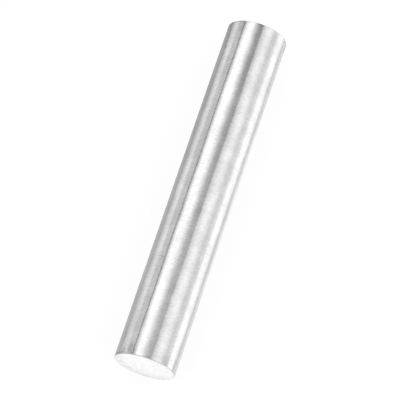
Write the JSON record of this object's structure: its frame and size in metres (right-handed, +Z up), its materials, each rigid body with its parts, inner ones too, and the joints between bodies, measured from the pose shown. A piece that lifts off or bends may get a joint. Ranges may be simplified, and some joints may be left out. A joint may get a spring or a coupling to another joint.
{
  "type": "steel rod",
  "caption": "Short cut length of bright round steel bar with square-cut end faces and a small broken edge at each rim.",
  "frame": {"origin": "on the floor, under the middle of the bar's length", "axes": "+X along the bar's axis, from the end that faces the viewer to the far end; +Z up"},
  "size_m": [0.15, 0.025, 0.025],
  "materials": {
    "bright_steel": "ground bright steel, fine streaks round the bar, satin faced ends, dry and free of rust"
  },
  "bodies": {
    "root": {"rod": "bright_steel"}
  },
  "joints": []
}
